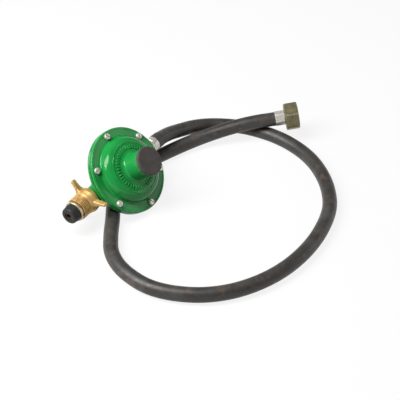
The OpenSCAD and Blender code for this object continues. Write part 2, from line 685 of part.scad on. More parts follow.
module wing_nut() color(brass) in_housing() difference() {
    thread_front = nut_front_x - 3.9;
    thread_back = thread_front - thread_l;
    thread_r = thread_d / 2;
    hub_r = hub_d / 2;
    union() {
        on_axis([[-nut_front_x, 0], [-nut_front_x, thread_r - 1.2], [-nut_front_x + 0.5, thread_r - 0.7],
            [-nut_front_x + 2, thread_r - 0.7], [-nut_front_x + 2.3, thread_r - 1.3],
            [-thread_front - 0.7, thread_r - 1.3], [-thread_front, thread_r],
            [-thread_back, thread_r], [-wing_x - wing_w / 2, hub_r - 1], [-wing_x, hub_r],
            [-nut_back_x - 1.4, hub_r - 0.6], [-nut_back_x, hub_r - 1.8], [-nut_back_x, 0]]);
        for (a = wing_angles) translate([0, 0, -axis_drop]) rotate([a, 0, 0]) wing();
    }
    axis_cylinder(-nut_front_x - 1, -nut_back_x + 1, nipple_r + 2 * fit);
    axis_cylinder(-nut_front_x - 1, -collar_x + collar_t + 0.4, collar_r + loose);
    on_axis([[-collar_x + collar_t + 0.39, 0], [-collar_x + collar_t + 0.39, collar_r + loose],
        [-collar_x + collar_t + 2.9, nipple_r + 2 * fit], [-collar_x + collar_t + 2.9, 0]]);
}

// Angle of each wing, from the direction across the housing (+y) towards the bonnet (+z)
wing_angles = [-3, 117, 237];

// One wing, standing along +y from the fitting's axis
module wing() intersection() {
    foot = 8;
    root_w = wing_w + 3.4;
    root_t = wing_t + 4.4;
    tip_r = 1.6;
    wing_tip = sqrt(wing_r * wing_r - wing_t * wing_t / 4);
    // outline seen from the side: a flared root and a round tip
    translate([-wing_x, 0, -root_t]) linear_extrude(2 * root_t) polygon(concat(
        [[-root_w / 2, foot]], arc([-root_w / 2 - 4.2, 15], 6, -40, -5, 3),
        arc([-wing_w / 2 + tip_r, wing_tip - tip_r], tip_r, 175, 95, 3),
        arc([wing_w / 2 - tip_r, wing_tip - tip_r], tip_r, 85, 5, 3),
        arc([root_w / 2 + 4.2, 15], 6, 185, 220, 3), [[root_w / 2, foot]]));
    // outline seen along the fitting: thick at the root, thin at the tip
    translate([-wing_x - root_w, 0, 0]) rotate([90, 0, 90]) linear_extrude(2 * root_w) polygon(concat(
        [[foot, -root_t / 2], [12.5, -root_t / 2 + 0.6], [15, -wing_t / 2 - 0.3]],
        arc([wing_r - wing_t / 2, 0], wing_t / 2, -78, 78, 4),
        [[15, wing_t / 2 + 0.3], [12.5, root_t / 2 - 0.6], [foot, root_t / 2]]));
}

// ---- Outlet, hose and far end --------------------------------------------------------------

module outlet_tail() color(silver) in_housing() difference() {
    start = outlet_face - stem_l;
    union() {
        on_axis([[start, 0], [start, stem_r - 1], [start + 1, stem_r], [outlet_face + loose, stem_r],
            [outlet_face + loose + outlet_ferrule_l, tail_r - fit],
            [outlet_face + loose + outlet_ferrule_l, 0]]);
        translate([outlet_face + loose + outlet_ferrule_l, 0, -axis_drop]) mirror([1, 0, 0]) barbs(barb_l);
    }
    axis_cylinder(start - 1, outlet_face + outlet_ferrule_l + barb_l + 2, hose_bore_d / 2 - 1.2);
}

tail_r = 5.6;
barb_l = 20.6;

module outlet_ferrule() color(silver) in_housing() {
    x0 = outlet_face + loose;
    x1 = x0 + outlet_ferrule_l;
    r = ferrule_d / 2;
    difference() {
        on_axis(concat([[x0, 0], [x0, r - 2.2]],
            [for (a = [180 : -15 : 90]) [x0 + 4 + 4 * cos(a), r - 2.2 + 2.2 * sin(a)]],
            crimp(x0 + 7, r), crimp(x0 + 12, r), [[x1 - 1, r], [x1, r - 0.5], [x1, 0]]));
        on_axis([[x0 - 1, 0], [x0 - 1, stem_r + fit + eps], [x0, stem_r + fit], [x1, tail_r],
            [x1 + 1, tail_r], [x1 + 1, 0]]);
    }
}

// Outline of one pressed groove in a ferrule
function crimp(x, r) = [[x, r], [x + 0.5, r - 0.45], [x + 2.3, r - 0.45], [x + 2.8, r]];

module hose() color("#3e3c39")
    swept(smooth(ROUTE, rings_per_step, [1, 0, 0], end_dir), hose_d / 2, hose_sides,
        [1, 0, 0], end_dir);

module end_ferrule() color(silver) in_end() difference() {
    r = ferrule_d / 2;
    intersection() {
        turned_x([[0, 0], [0, r - 0.5], [0.6, r], [end_ferrule_l - 0.8, r], [end_ferrule_l, r - 0.8],
            [end_ferrule_l, 0]]);
        // pressed to six flats
        rotate([hex_roll + 30, 0, 0]) rotate([0, 90, 0])
            cylinder(h = end_ferrule_l, d = (ferrule_d - 0.9) / cos(30), $fn = 6);
    }
    translate([-1, 0, 0]) rotate([0, 90, 0]) cylinder(h = end_ferrule_l + 2, r = tail_r);
}

hex_x = end_ferrule_l + nut_gap;
collar_back = hex_x + hex_back_t + loose;
collar_front = collar_back + tail_collar_t;
thread_start = collar_front + washer_t + 0.1;

module end_tail() color(silver) in_end() difference() {
    union() {
        turned_x([[0, 0], [0, tail_r - fit], [end_ferrule_l, tail_r - fit], [end_ferrule_l, tail_neck_r],
            [collar_back, tail_neck_r], [collar_back, hex_bore_d / 2 - loose],
            [collar_front - edge, hex_bore_d / 2 - loose], [collar_front, hex_bore_d / 2 - loose - edge],
            [collar_front, 0]]);
        barbs(barb_l);
    }
    translate([-barb_l - 1, 0, 0]) rotate([0, 90, 0])
        cylinder(h = barb_l + collar_front + 2, r = hose_bore_d / 2 - 1.2);
}

module end_washer() color(black) in_end() translate([collar_front, 0, 0]) rotate([0, 90, 0]) difference() {
    cylinder(h = washer_t, r = hex_bore_d / 2 - loose);
    translate([0, 0, -1]) cylinder(h = washer_t + 2, r = hose_bore_d / 2);
}

module swivel_nut() color("#6e6e4e") in_end() difference() {
    corner_r = hex_af / 2 / cos(30);
    bevel = corner_r - hex_af / 2;
    intersection() {
        translate([hex_x, 0, 0]) rotate([hex_roll, 0, 0]) rotate([0, 90, 0])
            cylinder(h = hex_l, r = corner_r, $fn = 6);
        turned_x([[hex_x, 0], [hex_x, hex_af / 2], [hex_x + bevel, corner_r + bevel * 0.7],
            [hex_x + hex_l - bevel, corner_r + bevel * 0.7], [hex_x + hex_l, hex_af / 2],
            [hex_x + hex_l, 0]]);
    }
    translate([hex_x - 1, 0, 0]) rotate([0, 90, 0]) cylinder(h = hex_l, r = tail_neck_r + loose);
    translate([hex_x + hex_back_t, 0, 0]) rotate([0, 90, 0])
        cylinder(h = thread_start - hex_x - hex_back_t, r = hex_bore_d / 2 + 0.5);
    translate([hex_x + hex_back_t, 0, 0]) rotate([0, 90, 0]) cylinder(h = hex_l, r = hex_bore_d / 2);
    turned_x([[hex_x + hex_l - 1, 0], [hex_x + hex_l - 1, hex_bore_d / 2],
        [hex_x + hex_l + 0.2, hex_bore_d / 2 + 1.2], [hex_x + hex_l + 0.2, 0]]);
}

lower_body();
bonnet();
diaphragm();
cover_screws();
tower_cap();
adjusting_screw();
spring_seat();
main_spring();
diaphragm_plate();
pusher_post();
relief_spring();
relief_nut();
lever();
lever_pin();
lever_bracket();
bracket_screws();
valve_holder();
valve_disc();
seat_nozzle();
inlet_nipple();
inlet_filter();
nose_seal();
wing_nut();
outlet_tail();
outlet_ferrule();
hose();
end_ferrule();
end_tail();
end_washer();
swivel_nut();
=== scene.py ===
import json
import math

import bmesh
import bpy
from mathutils import Matrix, Vector


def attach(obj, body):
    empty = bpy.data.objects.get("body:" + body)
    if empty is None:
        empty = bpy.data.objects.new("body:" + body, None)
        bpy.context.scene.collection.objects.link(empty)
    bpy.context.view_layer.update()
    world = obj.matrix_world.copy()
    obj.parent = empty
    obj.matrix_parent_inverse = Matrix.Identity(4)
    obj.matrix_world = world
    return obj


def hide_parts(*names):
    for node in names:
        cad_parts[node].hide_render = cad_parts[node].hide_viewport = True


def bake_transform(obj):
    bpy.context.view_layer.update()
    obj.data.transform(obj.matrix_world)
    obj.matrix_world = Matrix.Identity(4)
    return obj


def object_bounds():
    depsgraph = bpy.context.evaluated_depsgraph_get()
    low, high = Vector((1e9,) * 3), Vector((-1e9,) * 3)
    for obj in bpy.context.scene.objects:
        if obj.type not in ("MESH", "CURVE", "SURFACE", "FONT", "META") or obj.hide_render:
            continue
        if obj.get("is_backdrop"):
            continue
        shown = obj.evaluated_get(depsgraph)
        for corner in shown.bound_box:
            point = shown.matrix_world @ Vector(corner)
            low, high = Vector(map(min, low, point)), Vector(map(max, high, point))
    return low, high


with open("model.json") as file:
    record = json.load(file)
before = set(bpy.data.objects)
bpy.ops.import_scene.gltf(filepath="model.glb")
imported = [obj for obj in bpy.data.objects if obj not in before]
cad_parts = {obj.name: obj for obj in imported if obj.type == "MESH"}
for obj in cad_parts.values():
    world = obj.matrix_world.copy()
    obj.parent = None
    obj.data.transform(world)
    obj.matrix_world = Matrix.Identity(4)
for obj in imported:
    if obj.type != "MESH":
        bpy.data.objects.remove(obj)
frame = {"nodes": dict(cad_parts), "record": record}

nodes = frame["nodes"]
cad_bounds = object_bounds()
scene = bpy.context.scene
scene.view_settings.view_transform = "Standard"
MM = 0.001

# ---------------------------------------------------------------- the model's own sizes, in mm
LEAN = math.radians(49)
STAND = Vector((-2.6, 3.9, 35.0465))
AXIS_DROP = 15.2
END_POS = Vector((166.9, -64.5, 23.3))
END_HEADING = math.radians(-50.5)
END_DIP = math.radians(-8)
END_DIR = Vector((math.cos(END_DIP) * math.cos(END_HEADING),
                  math.cos(END_DIP) * math.sin(END_HEADING), -math.sin(END_DIP)))
HOSE_D = 14.5
ON_FLOOR = 7.3                                                    # the hose's axis where it lies

HOUSING = Matrix.Translation(STAND) @ Matrix.Rotation(LEAN, 4, "X")
INLET = HOUSING @ Matrix.Translation((0, 0, -AXIS_DROP))          # +x from the inlet to the outlet
END = Matrix.Translation(END_POS) @ Matrix.Rotation(END_HEADING, 4, "Z") @ Matrix.Rotation(END_DIP, 4, "Y")

# ---------------------------------------------------------------- camera
AIM = Vector((0.0352, -0.0578, 0.0))
AZ, EL, DIST = math.radians(-56), math.radians(40), 1.2
cam_data = bpy.data.cameras.new("camera")
cam_data.lens = 108
cam_data.sensor_width = 36
cam_data.clip_start = 0.05
cam_data.clip_end = 20
cam = bpy.data.objects.new("camera", cam_data)
scene.collection.objects.link(cam)
back = Vector((math.sin(AZ) * math.cos(EL), -math.cos(AZ) * math.cos(EL), math.sin(EL)))
cam.location = AIM + DIST * back
cam.rotation_euler = (-back).to_track_quat("-Z", "Y").to_euler()
scene.camera = cam


# ---------------------------------------------------------------- small tools
def lin(rgb):
    """A screen colour of 0 to 255 as linear values, with alpha."""
    shares = [c / 255 for c in rgb]
    return tuple(c / 12.92 if c <= 0.04045 else ((c + 0.055) / 1.055) ** 2.4 for c in shares) + (1.0,)


def new_object(name, verts, faces, place=None, smooth_angle=35):
    """A mesh object from vertices in mm, put where place says."""
    me = bpy.data.meshes.new(name)
    me.from_pydata([tuple(v) for v in verts], [], faces)
    me.update()
    to_metres = Matrix.Scale(MM, 4)
    me.transform(to_metres if place is None else to_metres @ place)
    ob = bpy.data.objects.new(name, me)
    scene.collection.objects.link(ob)
    tidy_normals(ob, smooth_angle)
    return ob


def tidy_normals(ob, angle):
    """Turn the faces outward and keep only the edges above the angle sharp."""
    bm = bmesh.new()
    bm.from_mesh(ob.data)
    bmesh.ops.recalc_face_normals(bm, faces=bm.faces)
    bm.to_mesh(ob.data)
    bm.free()
    ob.data.shade_smooth()
    ob.data.set_sharp_from_angle(angle=math.radians(angle))


def arc(cx, cy, r, a0, a1, n):
    """Points on an arc from a0 to a1 degrees, in n steps."""
    return [(cx + r * math.cos(math.radians(a0 + (a1 - a0) * i / n)),
             cy + r * math.sin(math.radians(a0 + (a1 - a0) * i / n))) for i in range(n + 1)]


def revolve_z(name, profile, segs=160, place=None, smooth_angle=35):
    """A closed profile of (r, z) turned round z. Points on the axis become one vertex."""
    verts, faces, rings = [], [], []
    for r, z in profile:
        if r < 1e-6:
            verts.append((0, 0, z))
            rings.append([len(verts) - 1] * segs)
        else:
            start = len(verts)
            for k in range(segs):
                a = 2 * math.pi * k / segs
                verts.append((r * math.cos(a), r * math.sin(a), z))
            rings.append(list(range(start, start + segs)))
    n = len(profile)
    for i in range(n):
        a, b = rings[i], rings[(i + 1) % n]
        if a[0] == a[1] and b[0] == b[1]:
            continue
        for k in range(segs):
            k2 = (k + 1) % segs
            face = list(dict.fromkeys((a[k], a[k2], b[k2], b[k])))
            if len(face) > 2:
                faces.append(face)
    return new_object(name, verts, faces, place, smooth_angle)


ALONG_X = Matrix(((0, 0, 1, 0), (1, 0, 0, 0), (0, 1, 0, 0), (0, 0, 0, 1)))   # z of a revolve becomes x


def ring_quads(a, b, sides):
    """The faces between two rings of vertices that start at a and b."""
    return [(a + k, a + (k + 1) % sides, b + (k + 1) % sides, b + k) for k in range(sides)]


def apply_modifiers(ob):
    dg = bpy.context.evaluated_depsgraph_get()
    me = bpy.data.meshes.new_from_object(ob.evaluated_get(dg))
    old = ob.data
    ob.modifiers.clear()
    ob.data = me
    bpy.data.meshes.remove(old)


def drop(ob):
    """Remove an object and its mesh."""
    me = ob.data
    bpy.data.objects.remove(ob)
    bpy.data.meshes.remove(me)


def join(name, objs, smooth_angle):
    """One object from the meshes of several, which are dropped."""
    bm = bmesh.new()
    for o in objs:
        bm.from_mesh(o.data)
    me = bpy.data.meshes.new(name)
    bm.to_mesh(me)
    bm.free()
    for o in objs:
        drop(o)
    ob = bpy.data.objects.new(name, me)
    scene.collection.objects.link(ob)
    tidy_normals(ob, smooth_angle)
    return ob


def cut(ob, cutter):
    """Cut one object out of another, and drop the cutter."""
    mod = ob.modifiers.new("cut", "BOOLEAN")
    mod.operation = "DIFFERENCE"
    mod.solver = "EXACT"
    mod.object = cutter
    apply_modifiers(ob)
    drop(cutter)


# ---------------------------------------------------------------- materials
class Shade:
    """A Principled material with a few procedural helpers. Positions are in metres."""

    def __init__(self, name):
        self.mat = bpy.data.materials.new(name)
        self.mat.use_nodes = True
        self.t = self.mat.node_tree
        self.p = self.t.nodes["Principled BSDF"]
        self.co = self.t.nodes.new("ShaderNodeTexCoord").outputs["Object"]

    def const(self, **values):
        for k, v in values.items():
            self.p.inputs[k.replace("_", " ")].default_value = v

    def noise(self, scale, detail=3, rough=0.5):
        n = self.t.nodes.new("ShaderNodeTexNoise")
        n.inputs["Scale"].default_value = scale
        n.inputs["Detail"].default_value = detail
        n.inputs["Roughness"].default_value = rough
        self.t.links.new(self.co, n.inputs["Vector"])
        return n.outputs["Fac"]

    def ramp(self, fac, dark, light, f0=0.3, f1=0.7):
        """Two screen colours, dark up to f0 and light from f1."""
        r = self.t.nodes.new("ShaderNodeValToRGB")
        for stop, place, colour in zip(r.color_ramp.elements, (f0, f1), (dark, light)):
            stop.position, stop.color = place, lin(colour)
        self.t.links.new(fac, r.inputs["Fac"])
        return r.outputs["Color"]

    def span(self, fac, low, high, f0=0.3, f1=0.7):
        """A number that goes from low to high while fac goes from f0 to f1."""
        m = self.t.nodes.new("ShaderNodeMapRange")
        for k, v in (("From Min", f0), ("From Max", f1), ("To Min", low), ("To Max", high)):
            m.inputs[k].default_value = v
        self.t.links.new(fac, m.inputs["Value"])
        return m.outputs["Result"]

    def mix(self, fac, a, b):
        """Colour a where fac is 0 and b where it is 1. Each is an output or a linear colour."""
        m = self.t.nodes.new("ShaderNodeMix")
        m.data_type = "RGBA"
        self.t.links.new(fac, m.inputs["Factor"])
        socks = [s for s in m.inputs if s.type == "RGBA"]
        for sock, v in zip(socks, (a, b)):
            if hasattr(v, "is_output"):
                self.t.links.new(v, sock)
            else:
                sock.default_value = v
        return [s for s in m.outputs if s.type == "RGBA"][0]

    def link(self, out, name):
        self.t.links.new(out, self.p.inputs[name])

    def bump(self, *layers):
        """Layers of (height output, strength, distance in metres)."""
        normal = None
        for height, strength, dist in layers:
            b = self.t.nodes.new("ShaderNodeBump")
            b.inputs["Strength"].default_value = strength
            b.inputs["Distance"].default_value = dist
            self.t.links.new(height, b.inputs["Height"])
            if normal is not None:
                self.t.links.new(normal, b.inputs["Normal"])
            normal = b.outputs["Normal"]
        self.link(normal, "Normal")


def green_enamel():
    """Gloss enamel over a die casting: a slight orange peel and a slightly uneven gloss."""
    s = Shade("green_enamel")
    s.link(s.ramp(s.noise(60, 2), (25, 139, 61), (33, 149, 69), 0.35, 0.65), "Base Color")
    s.link(s.span(s.noise(300, 3), 0.1, 0.2), "Roughness")
    s.const(Specular_IOR_Level=0.14, Coat_Weight=0.3, Coat_Roughness=0.06)
    s.bump((s.noise(420, 2), 0.06, 0.0004), (s.noise(1500, 2), 0.04, 0.0002))
    return s.mat


def brass(name, light, dark, rough, grain, stain=None):
    """Cast or turned brass under a dull film, with a brown tarnish where stain is given."""
    s = Shade(name)
    s.const(Metallic=0.5)
    colour = s.ramp(s.noise(260, 5, 0.6), dark, light)
    if stain is not None:
        colour = s.mix(s.span(s.noise(110, 5, 0.65), 0.0, 0.8, 0.5, 0.68), colour, lin(stain))
    s.link(colour, "Base Color")
    s.link(s.span(s.noise(700, 4, 0.6), rough[0], rough[1]), "Roughness")
    s.bump((s.noise(1400, 4, 0.6), grain, 0.0002))
    return s.mat


def plated(name, light, dark, rough, grain=0.1, scale=400, metallic=1.0):
    """Plated steel: mottled in patches, whose size falls as scale rises, with a fine grain."""
    s = Shade(name)
    s.const(Metallic=metallic)
    s.link(s.ramp(s.noise(scale, 4, 0.6), dark, light), "Base Color")
    s.link(s.span(s.noise(scale * 1.7, 4), rough[0], rough[1]), "Roughness")
    s.bump((s.noise(2200, 3), grain, 0.0002))
    return s.mat


def rubber(name, light, dark, rough=(0.45, 0.62), grain=0.2, scale=900):
    """Matt rubber or plastic."""
    s = Shade(name)
    s.link(s.ramp(s.noise(scale * 0.2, 4), dark, light), "Base Color")
    s.link(s.span(s.noise(scale, 3), rough[0], rough[1]), "Roughness")
    s.const(Specular_IOR_Level=0.4)
    s.bump((s.noise(scale * 2, 3), grain, 0.0002))
    return s.mat


def hose_rubber():
    """A rubber cover with brown scuffs, a chalky bloom and a fine grain."""
    s = Shade("hose_rubber")
    base = s.ramp(s.noise(70, 4), (52, 50, 48), (68, 65, 62))
    bloom = s.span(s.noise(30, 5, 0.7), 0.0, 0.7, 0.52, 0.7)
    dusty = s.mix(bloom, base, lin((84, 82, 79)))
    scuff = s.span(s.noise(80, 6, 0.7), 0.0, 0.9, 0.54, 0.66)
    s.link(s.mix(scuff, dusty, lin((90, 75, 66))), "Base Color")
    s.link(s.span(s.noise(140, 5, 0.6), 0.36, 0.52), "Roughness")
    s.const(Specular_IOR_Level=0.5)
    s.bump((s.noise(500, 3), 0.15, 0.0003), (s.noise(2600, 3), 0.2, 0.0001))
    return s.mat


GREEN = green_enamel()
BRASS = brass("brass", (230, 194, 126), (198, 158, 90), (0.42, 0.56), 0.1, (156, 112, 62))
BRIGHT = brass("bright_brass", (216, 200, 164), (188, 168, 128), (0.2, 0.32), 0.05)
# painted shade: the thread's roots get a darker brass than the rest of the nut
ROOT_SHADE = brass("thread_root_shade", (150, 112, 62), (118, 84, 46), (0.5, 0.65), 0.1)
TARNISHED = brass("tarnished_brass", (96, 70, 48), (56, 40, 30), (0.45, 0.65), 0.2)
BRONZE = brass("sintered_bronze", (165, 125, 80), (110, 80, 48), (0.5, 0.7), 0.8)
ZINC = plated("plated_steel", (232, 228, 220), (210, 205, 196), (0.3, 0.45), 0.04, metallic=0.6)
SPRING = plated("spring_steel", (150, 150, 150), (110, 110, 112), (0.3, 0.45))
OLIVE = plated("olive_plate", (138, 132, 100), (100, 96, 72), (0.34, 0.46), 0.04, 160, 0.45)
# painted highlight: a bright plate colour for the hexagon's long corners
CORNER_HIGHLIGHT = plated("painted_corner_highlight", (214, 208, 184), (180, 174, 148), (0.25, 0.35), 0.04, 160, 0.8)
HOSE = hose_rubber()
SEAL = rubber("seal_rubber", (44, 44, 42), (32, 32, 31))
CAP = rubber("cap_plastic", (82, 75, 72), (66, 64, 63), (0.55, 0.7))

FINISH = {
    "green_enamel": GREEN, "brass": BRASS, "sintered_bronze": BRONZE, "plated_steel": ZINC,
    "spring_steel": SPRING, "olive_plate": OLIVE, "hose_rubber": HOSE, "seal_rubber": SEAL,
    "cap_plastic": CAP,
}
for part in frame["record"]["subparts"]:
    ob = nodes[part["node"]]
    ob.data.materials.clear()
    ob.data.materials.append(FINISH[part["material_slot"]])
nodes["inlet_nipple"].data.materials[0] = TARNISHED


def finish(ob, mat, body):
    """Give a piece its material, its slot's name and the body that carries it."""
    ob.data.materials.clear()
    ob.data.materials.append(mat)
    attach(ob, body)


def paint_faces(ob, extra, place, pick):
    """Add materials, and give each face the one that pick(face, its centre in place's mm) returns."""
    for mat in extra:
        ob.data.materials.append(mat)
    inv = (Matrix.Scale(MM, 4) @ place).inverted()
    for poly in ob.data.polygons:
        poly.material_index = pick(poly, inv @ poly.center)


# ---------------------------------------------------------------- the hose
OUTLET_X, FERRULE_GAP, FERRULE_L = 41, 0.3, 21
AXIS_START = HOUSING @ Vector((OUTLET_X + FERRULE_GAP + FERRULE_L, 0, -AXIS_DROP))
ROUTE = [
    tuple(AXIS_START), tuple(AXIS_START + Vector((13, 0, -1.1))),
    (86, 14.7, 21.1), (100.5, 12.4, 17.1), (116.5, 7.3, 13.8), (131, -1.5, 11), (143.5, -14.5, 8.7),
    (152.5, -30.5, 7.6), (157.5, -49.5, ON_FLOOR), (159, -72, ON_FLOOR), (155.5, -96, ON_FLOOR),
    (147, -119, ON_FLOOR), (133, -140, ON_FLOOR), (114, -159, ON_FLOOR), (89, -175, ON_FLOOR),
    (58, -184, ON_FLOOR), (26, -187, ON_FLOOR), (-6, -184, ON_FLOOR), (-35, -175, ON_FLOOR),
    (-61, -160, ON_FLOOR), (-81, -140, ON_FLOOR), (-94, -117, ON_FLOOR), (-100, -95, ON_FLOOR),
    (-99, -74, ON_FLOOR), (-93, -53.5, ON_FLOOR), (-81.5, -36, ON_FLOOR), (-64.4, -22.2, ON_FLOOR),
    (-43.9, -8.7, ON_FLOOR), (-23, 5.5, ON_FLOOR), (-1, 17, ON_FLOOR), (21, 22, ON_FLOOR),
    (42, 20, ON_FLOOR), (62, 12.6, ON_FLOOR), (81, 6, 7.4), (99, -1.4, 8.1), (115, -11.3, 10.6),
    (129, -24, 15), (142, -38, 19.4), (154.5, -51.5, 22.2),
    tuple(END_POS)]


def route(points, steps):
    """A smooth curve through the points, level along x at the start and along END_DIR at the end."""
    p = [Vector(v) for v in points]
    q = [p[1] - 2 * (p[1] - p[0]).length * Vector((1, 0, 0))] + p
    q.append(p[-2] + 2 * (p[-1] - p[-2]).length * END_DIR)
    out = []
    for i in range(1, len(p)):
        a, b, c, d = q[i - 1], q[i], q[i + 1], q[i + 2]
        for k in range(steps):
            t = k / steps
            out.append((2 * b + (c - a) * t + (2 * a - 5 * b + 4 * c - d) * t * t
                        + (3 * b - a - 3 * c + d) * t ** 3) / 2)
    out.append(p[-1])
    return out


PATH = route(ROUTE, 8)
SWELL, SWELL_END, SWELL_FADE = 0.45, 10.5, 1.6                    # the barbs widen the hose's first stretch


def hose_mesh(path, r, sides=40):
    """A tube along the path, a little wider over its first stretch."""
    verts, faces = [], []
    last = len(path) - 1
    travelled = 0.0
    for i, c in enumerate(path):
        if i:
            travelled += (c - path[i - 1]).length
        if i == 0:
            t = Vector((1, 0, 0))
        elif i == last:
            t = END_DIR
        else:
            t = (path[i + 1] - path[i - 1]).normalized()
        side = t.cross(Vector((0, 0, 1))).normalized()
        up = side.cross(t)
        wide = r + SWELL * min(1.0, max(0.0, (SWELL_END - travelled) / SWELL_FADE))
        for k in range(sides):
            a = 2 * math.pi * k / sides
            verts.append(c + wide * (math.cos(a) * side + math.sin(a) * up))
        if i:
            faces += ring_quads((i - 1) * sides, i * sides, sides)
    faces.append(tuple(reversed(range(sides))))
    faces.append(tuple(last * sides + k for k in range(sides)))
    return verts, faces


hose = new_object("hose_tube", *hose_mesh(PATH, HOSE_D / 2), smooth_angle=40)
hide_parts("hose")
finish(hose, HOSE, "root")

# ---------------------------------------------------------------- bonnet
FLANGE_R, JOINT, FLANGE_TOP, EDGE_R = 43.7, 0.5, 4.1, 1.2
DOME_R, SHOULDER_H, SHOULDER_R = 33.4, 14.4, 9.0
RING_R, RING_TOP, TOWER_R, TOWER_H = 26.0, 15.3, 13.8, 35.4
CHAMBER_R, BORE_R, WALL = 31.0, 10.2, 2.8
RIM_STEP, FOOT_R, TOWER_FOOT_R = 0.15, 1.9, 3.2
INNER_R = SHOULDER_R - 1.5
VENT_R, VENT_LOW, VENT_HIGH, VENT_TURN = 1.25, 6.5, 22, math.radians(-38)

inner_shoulder = arc(CHAMBER_R - INNER_R, SHOULDER_H - WALL - INNER_R, INNER_R, 8, 80, 8)
bonnet_profile = (
    [(CHAMBER_R, JOINT), (FLANGE_R - 0.4, JOINT), (FLANGE_R, JOINT + 0.4)]
    + arc(FLANGE_R - EDGE_R, FLANGE_TOP - EDGE_R, EDGE_R, 0, 90, 8)
    + [(FLANGE_R - 2.4, FLANGE_TOP), (FLANGE_R - 2.7, FLANGE_TOP - RIM_STEP),
       (FLANGE_R - 3.0, FLANGE_TOP - RIM_STEP), (DOME_R + 2.4, FLANGE_TOP - RIM_STEP)]
    + arc(DOME_R + FOOT_R, FLANGE_TOP - RIM_STEP + FOOT_R, FOOT_R, 270, 184, 8)
    + arc(DOME_R - SHOULDER_R, SHOULDER_H - SHOULDER_R, SHOULDER_R, 6, 74, 16)
    + [(RING_R + 0.2, SHOULDER_H + 0.1), (RING_R, SHOULDER_H + 0.3), (RING_R - 0.25, SHOULDER_H + 0.3),
       (RING_R - 0.8, SHOULDER_H), (TOWER_R + 4.1, RING_TOP - 0.1), (TOWER_R + 3.7, RING_TOP + 0.05)]
    + arc(TOWER_R + TOWER_FOOT_R, RING_TOP + 3.6, TOWER_FOOT_R, 256, 180, 12)
    + [(TOWER_R - 0.2, TOWER_H - 1.0)] + arc(TOWER_R - 1.2, TOWER_H - 1.0, 1.0, 0, 90, 5)
    + [(BORE_R + 0.8, TOWER_H), (BORE_R, TOWER_H - 0.8), (BORE_R, 14.0)]
    + [(BORE_R + 2, RING_TOP - WALL)] + inner_shoulder[::-1] + [(CHAMBER_R, FLANGE_TOP)])
bonnet = revolve_z("bonnet_casting", bonnet_profile, 192, HOUSING, 30)
vent_profile = [(0, VENT_LOW), (VENT_R, VENT_LOW), (VENT_R, VENT_HIGH), (0, VENT_HIGH)]
vent_place = HOUSING @ Matrix.Rotation(VENT_TURN, 4, "Z") @ Matrix.Translation((RING_R - 3, 0, 0))
vent = revolve_z("vent_cut", vent_profile, 24, vent_place)
cut(bonnet, vent)
tidy_normals(bonnet, 30)
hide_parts("bonnet")
finish(bonnet, GREEN, "root")

BARS, BAR_IN, BAR_OUT, BAR_RISE, BAR_HALF_W = 44, 18.9, 23.0, 0.75, 0.75


def annulus_z(r):
    """The height of the bonnet's sloping annulus at radius r."""
    inner, outer = TOWER_R + 4.1, RING_R - 0.8
    return SHOULDER_H + (RING_TOP - 0.1 - SHOULDER_H) * (outer - r) / (outer - inner)


def bars(name):
    """Short raised bars in a ring on the annulus, each a low ridge with sloping sides and ends."""
    verts, faces = [], []
    for i in range(BARS):
        a = 2 * math.pi * i / BARS
        out, along = Vector((math.cos(a), math.sin(a), 0)), Vector((-math.sin(a), math.cos(a), 0))
        start = len(verts)
        for inset, rise in ((0, -0.2), (0.12, BAR_RISE * 0.7), (0.35, BAR_RISE)):
            near, far, half = BAR_IN + inset, BAR_OUT - inset, BAR_HALF_W - inset
            for r, w in ((near, -half), (far, -half), (far, half), (near, half)):
                verts.append(out * r + along * w + Vector((0, 0, annulus_z(r) + rise)))
        for ring in (start, start + 4):
            faces += ring_quads(ring, ring + 4, 4)
        faces.append((start + 3, start + 2, start + 1, start))
        faces.append((start + 8, start + 9, start + 10, start + 11))
    return new_object(name, verts, faces, HOUSING, 60)


finish(bars("bonnet_bars"), GREEN, "root")

# ---------------------------------------------------------------- wing nut
THREAD_R, THREAD_FRONT, THREAD_L, NUT_FRONT, NUT_BACK = 11.175, 65.4, 11.0, 69.3, 43.5
PITCH = 25.4 / 14                                                 # both threads have 14 turns to the inch
CREST, RUN_OUT = 0.12, 0.8                                        # flat share of a crest, fade at the ends
NECK_DROP, FRONT_L, FRONT_DROP, THREAD_DEEP = 1.3, 2.0, 0.7, 1.0
HUB_R, WING_X, WING_R = 13.0, 48.8, 24.6
BORE, CAVITY_R, CAVITY_BACK, CAVITY_FULL, SLEEVE_BACK = 6.5, 8.975, 61.0, 63.6, 53.6
WING_ANGLES = (-3, 117, 237)
WING_SQUARENESS = 0.5                                             # 1 is an ellipse, 0 is a rectangle


def thread_grid(name, x0, x1, radius_at, inner, segs, step, place=None):
    """A sleeve from x0 to x1: radius_at(x, angle) outside, and a profile of (x, r) inside."""
    n = max(2, int(abs(x1 - x0) / step))
    angles = [2 * math.pi * k / segs for k in range(segs)]
    rows = []
    for i in range(n + 1):
        x = x0 + (x1 - x0) * i / n
        rows.append([(x, radius_at(x, a), a) for a in angles])
    for x, r in inner:
        rows.append([(x, r, a) for a in angles])
    verts = [(x, r * math.cos(a), r * math.sin(a)) for row in rows for x, r, a in row]
    faces = []
    for i in range(len(rows)):
        faces += ring_quads(i * segs, (i + 1) % len(rows) * segs, segs)
    return new_object(name, verts, faces, place, 28)


def thread_depth(x, a, hand, depth, x_in, x_out):
    """How far the thread lies below its crest at x and angle a. It fades out at both ends."""
    t = (x / PITCH + hand * a / (2 * math.pi)) % 1.0
    v = abs(t - 0.5) * 2
    v = min(1.0, max(0.0, (v - CREST) / (1 - 2 * CREST)))
    fade = min(1.0, max(0.0, (x - x_in) / RUN_OUT), max(0.0, (x_out - x) / RUN_OUT))
    return depth * v * fade


